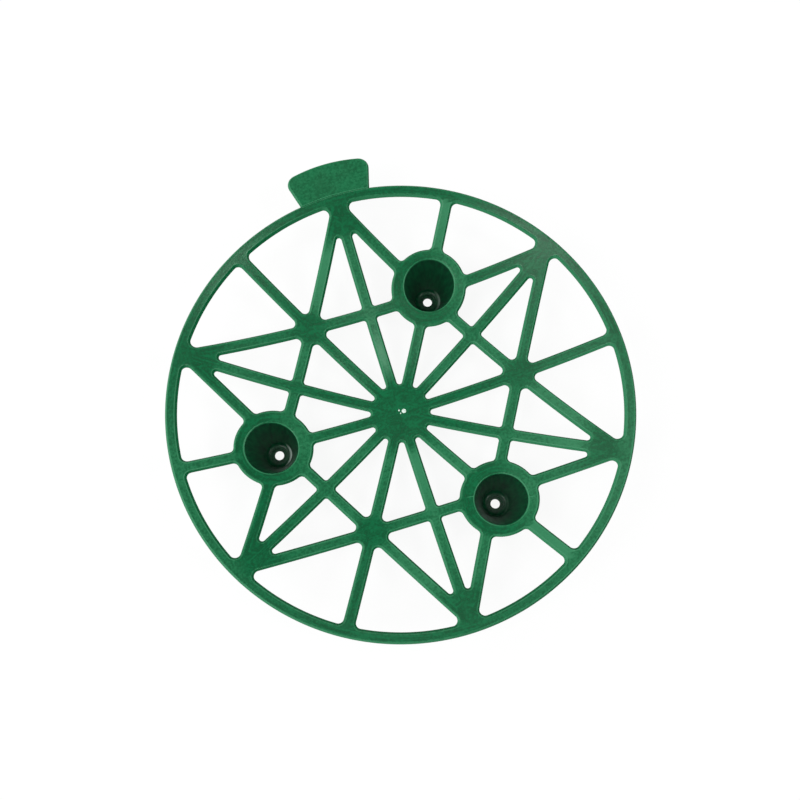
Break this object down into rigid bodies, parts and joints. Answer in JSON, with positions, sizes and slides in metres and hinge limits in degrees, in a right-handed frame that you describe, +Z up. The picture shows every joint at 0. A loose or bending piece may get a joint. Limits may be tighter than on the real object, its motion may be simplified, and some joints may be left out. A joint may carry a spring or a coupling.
{
  "type": "melon support tray",
  "caption": "Round dished lattice tray with a star of ribs, hollow tapered legs drained at the foot and a flat grip tab, to keep a ripening melon off the soil.",
  "frame": {"origin": "on the ground under the tray, at the middle of its outline with the grip tab", "axes": "+Z up, +Y towards the grip tab, +X to the right seen from above with the tab at the top; the round tray's own axis is at y = -0.00775"},
  "size_m": [0.195, 0.2106, 0.035],
  "materials": {
    "green_polypropylene": "satin, injection moulded, dark green"
  },
  "bodies": {
    "root": {"rim": "green_polypropylene", "hub": "green_polypropylene", "grip_tab": "green_polypropylene", "long_rib_1": "green_polypropylene", "long_rib_2": "green_polypropylene", "long_rib_3": "green_polypropylene", "long_rib_4": "green_polypropylene", "long_rib_5": "green_polypropylene", "long_rib_6": "green_polypropylene", "star_tip_1": "green_polypropylene", "star_tip_2": "green_polypropylene", "star_tip_3": "green_polypropylene", "star_tip_4": "green_polypropylene", "star_tip_5": "green_polypropylene", "star_tip_6": "green_polypropylene", "joint_plate_1": "green_polypropylene", "joint_plate_2": "green_polypropylene", "joint_plate_3": "green_polypropylene", "leg_cup_1": "green_polypropylene", "leg_cup_2": "green_polypropylene", "leg_cup_3": "green_polypropylene", "cup_inner_rib_1": "green_polypropylene", "cup_inner_rib_2": "green_polypropylene", "cup_inner_rib_3": "green_polypropylene", "cup_outer_rib_1": "green_polypropylene", "cup_outer_rib_2": "green_polypropylene", "cup_outer_rib_3": "green_polypropylene", "joint_inner_rib_1": "green_polypropylene", "joint_inner_rib_2": "green_polypropylene", "joint_inner_rib_3": "green_polypropylene", "joint_outer_rib_1": "green_polypropylene", "joint_outer_rib_2": "green_polypropylene", "joint_outer_rib_3": "green_polypropylene", "star_tip_bar_1": "green_polypropylene", "star_tip_bar_2": "green_polypropylene", "star_tip_bar_3": "green_polypropylene", "star_tip_bar_4": "green_polypropylene", "star_tip_bar_5": "green_polypropylene", "star_tip_bar_6": "green_polypropylene", "star_middle_bar_1": "green_polypropylene", "star_middle_bar_2": "green_polypropylene", "star_middle_bar_3": "green_polypropylene", "star_middle_bar_4": "green_polypropylene", "star_middle_bar_5": "green_polypropylene", "star_middle_bar_6": "green_polypropylene", "star_far_bar_1": "green_polypropylene", "star_far_bar_2": "green_polypropylene", "star_far_bar_3": "green_polypropylene", "star_far_bar_4": "green_polypropylene", "star_far_bar_5": "green_polypropylene", "star_far_bar_6": "green_polypropylene"}
  },
  "joints": []
}
